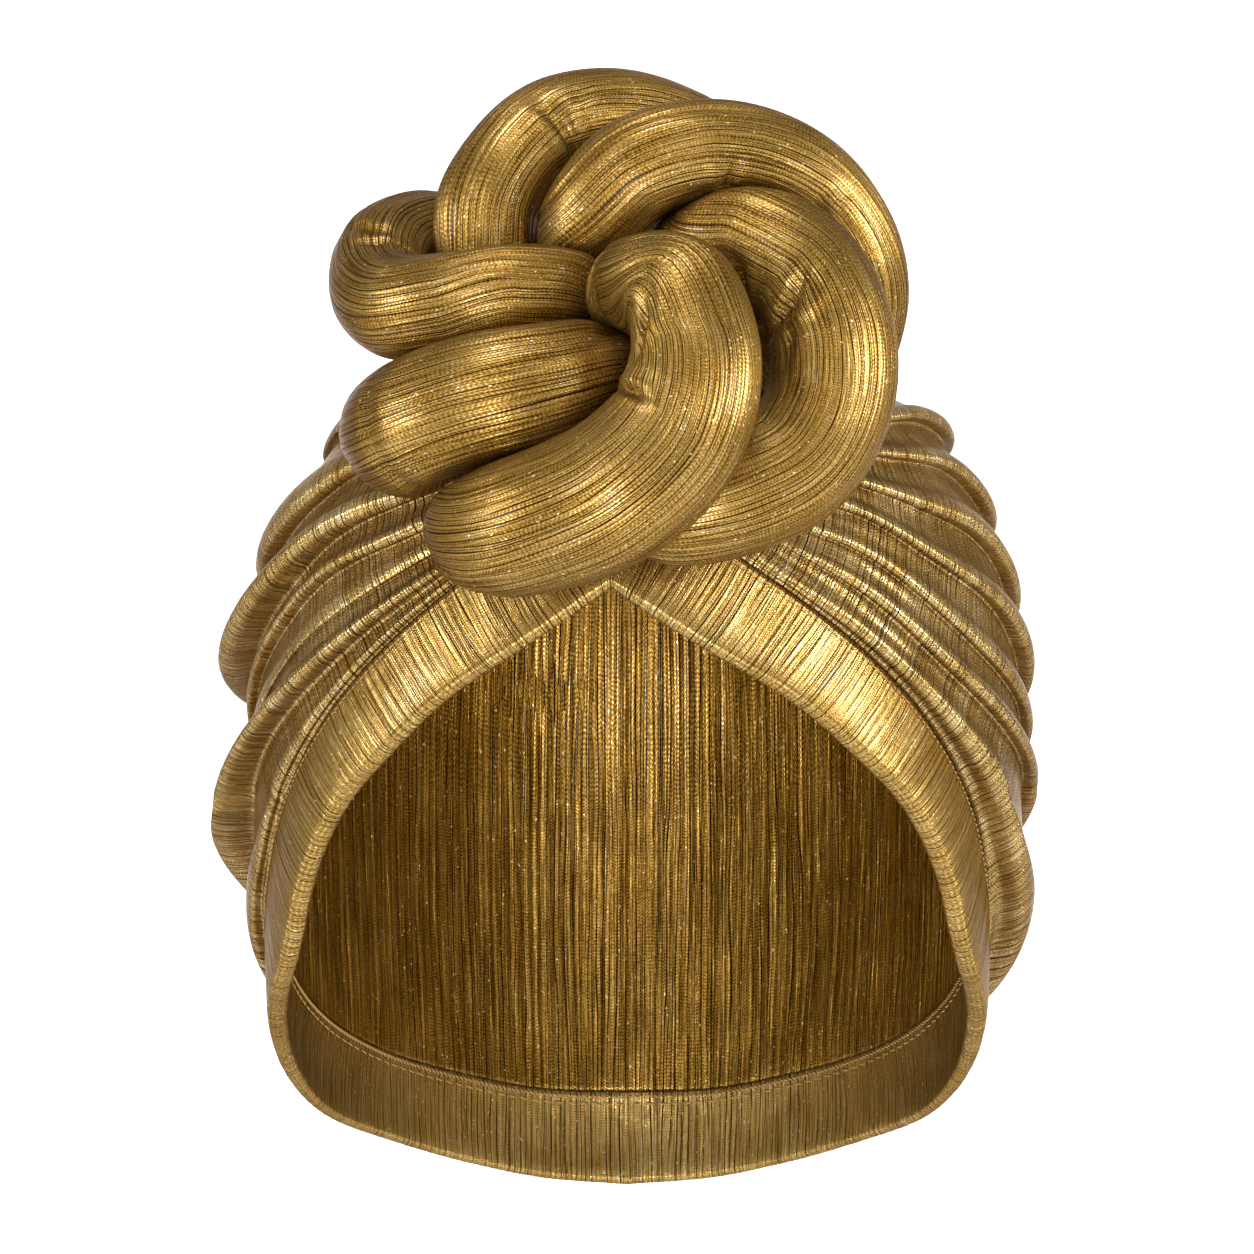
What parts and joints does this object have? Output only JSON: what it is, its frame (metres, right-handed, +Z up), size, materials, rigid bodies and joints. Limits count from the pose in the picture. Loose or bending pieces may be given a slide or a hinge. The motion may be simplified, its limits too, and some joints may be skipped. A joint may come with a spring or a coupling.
{
  "type": "turban hat",
  "caption": "Pre-tied turban hat of pleated metallic cloth with a padded rosette knot at the forehead and a ruched crown.",
  "frame": {"origin": "inside of the crown's top, where it rests on the wearer's head", "axes": "+Z up, -Y out of the face opening towards the viewer, +X the wearer's left"},
  "size_m": [0.1966, 0.2441, 0.2677],
  "materials": {
    "gold_plisse": "metallic thread in fine pleats, soft gloss"
  },
  "bodies": {
    "root": {"crown": "gold_plisse", "face_band": "gold_plisse", "knot_roll_front": "gold_plisse", "knot_roll_left_ear": "gold_plisse", "knot_roll_top": "gold_plisse", "knot_roll_arch": "gold_plisse", "knot_roll_loop": "gold_plisse", "knot_roll_right_ear": "gold_plisse"}
  },
  "joints": []
}
